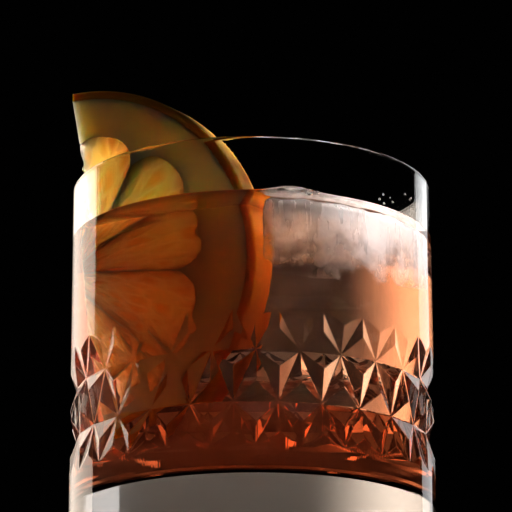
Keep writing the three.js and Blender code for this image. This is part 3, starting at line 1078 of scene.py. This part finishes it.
# %% [markdown]
# ## The table
# A plain pale board. It could reach all round, but the camera looks up from below it and would see only its
# underside. So it ends just in front of the glass.

# %% Table
TABLE_FRONT = -60 * MM
TABLE_HALF = 1.2

table_mesh = bmesh.new()
bmesh.ops.create_grid(table_mesh, x_segments=1, y_segments=1, size=TABLE_HALF)
bmesh.ops.translate(table_mesh, verts=table_mesh.verts[:], vec=(0, TABLE_HALF + TABLE_FRONT, 0))
table_paint = principled("pale_table", Base_Color=(0.6, 0.6, 0.59, 1), Roughness=0.5, Coat_Weight=1.0,
                         Coat_Roughness=0.06)[0]
mesh = to_mesh(table_mesh, "table")
mesh.materials.append(table_paint)
table = bpy.data.objects.new("table", mesh)
scene.collection.objects.link(table)

# %% [markdown]
# ## The lights
# Clear glass shows what stands behind it. One even light all round would leave the cut band flat, so the
# light has sides. A wide warm panel stands behind on the left and fades towards the middle. Behind on the
# right is a tall softbox that leaves dull surfaces unlit and shows in glass and liquid. Two narrow beams
# reach the fruit and the frosted ice, and a weak light fills in from above, in front. The surroundings are
# nearly black.

# %% Lights
GLASS_MIDDLE = (0, 0, 60 * MM)
FRUIT_SPOT = (-16 * MM, -10 * MM, 42 * MM)
FROST_SPOT = (40 * MM, -20 * MM, 76 * MM)
WARM = (1.0, 0.84, 0.7)
NEAR_BLACK = (0.0003, 0.0003, 0.0003, 1)


def softbox(name, turn_left, distance, centre_z, width, height, watts, spread=180, target=GLASS_MIDDLE):
    """A soft light that faces the glass. The turn is counted from straight behind the glass to the left."""
    light = bpy.data.lights.new(name, "AREA")
    light.shape = "RECTANGLE"
    light.size, light.size_y = width, height
    light.energy = watts
    light.spread = math.radians(spread)
    holder = bpy.data.objects.new(name, light)
    scene.collection.objects.link(holder)
    angle = math.radians(turn_left)
    holder.location = (-math.sin(angle) * distance, math.cos(angle) * distance, centre_z)
    aim = Vector(target) - holder.location
    holder.rotation_euler = aim.to_track_quat("-Z", "Y").to_euler()
    return holder


def light_panel(name, turn_left, distance, centre_z, width, height, strength, soft_edge, tint):
    """A lit upright cloth. Its light fades out towards the side next to straight behind."""
    bm = bmesh.new()
    bm.loops.layers.uv.new("span")
    bmesh.ops.create_grid(bm, x_segments=1, y_segments=1, size=0.5, calc_uvs=True)
    angle = math.radians(turn_left)
    place = Matrix.Translation((-math.sin(angle) * distance, math.cos(angle) * distance, centre_z))
    place = place @ Matrix.Rotation(angle, 4, "Z") @ Matrix.Rotation(math.radians(90), 4, "X")
    bm.transform(place @ Matrix.Diagonal((width, height, 1, 1)))
    mesh = to_mesh(bm, name)
    cloth, tree, shader = principled(name, Base_Color=(0, 0, 0, 1), Roughness=1.0,
                                     Emission_Strength=strength)
    span = add_node(tree, "ShaderNodeUVMap", uv_map="span")
    across = add_node(tree, "ShaderNodeSeparateXYZ")
    edge = add_node(tree, "ShaderNodeMapRange", interpolation_type="SMOOTHSTEP", From_Min=1.0,
                    From_Max=1 - soft_edge)
    tree.links.new(span.outputs["UV"], across.inputs["Vector"])
    tree.links.new(across.outputs["X"], edge.inputs["Value"])
    glow = blend_colors(tree, edge.outputs["Result"], (0, 0, 0), tint)
    tree.links.new(glow, shader.inputs["Emission Color"])
    mesh.materials.append(cloth)
    panel = bpy.data.objects.new(name, mesh)
    scene.collection.objects.link(panel)
    panel.visible_camera = False


light_panel("light_panel_left", turn_left=37, distance=0.60, centre_z=0.32, width=0.62, height=0.44,
            strength=3.0, soft_edge=0.5, tint=WARM)
right = softbox("softbox_right", turn_left=-41, distance=0.60, centre_z=0.30, width=0.244, height=0.50,
                watts=0.58)
right.visible_diffuse = False
softbox("fruit_light", turn_left=12, distance=0.50, centre_z=0.36, width=0.06, height=0.06, watts=0.32,
        spread=6, target=FRUIT_SPOT)
softbox("top_light", turn_left=30, distance=0.30, centre_z=0.58, width=0.05, height=0.05, watts=0.8,
        spread=4, target=FROST_SPOT)
softbox("fill_above", turn_left=200, distance=0.7, centre_z=1.0, width=0.6, height=0.6, watts=0.12)

# %% Surroundings and depth of light paths
world = bpy.data.worlds.new("studio")
world.use_nodes = True
world.node_tree.nodes["Background"].inputs["Color"].default_value = NEAR_BLACK
scene.world = world
scene.view_settings.view_transform = "Standard"
scene.cycles.max_bounces = 24
scene.cycles.volume_bounces = 2
scene.cycles.transmission_bounces = 24
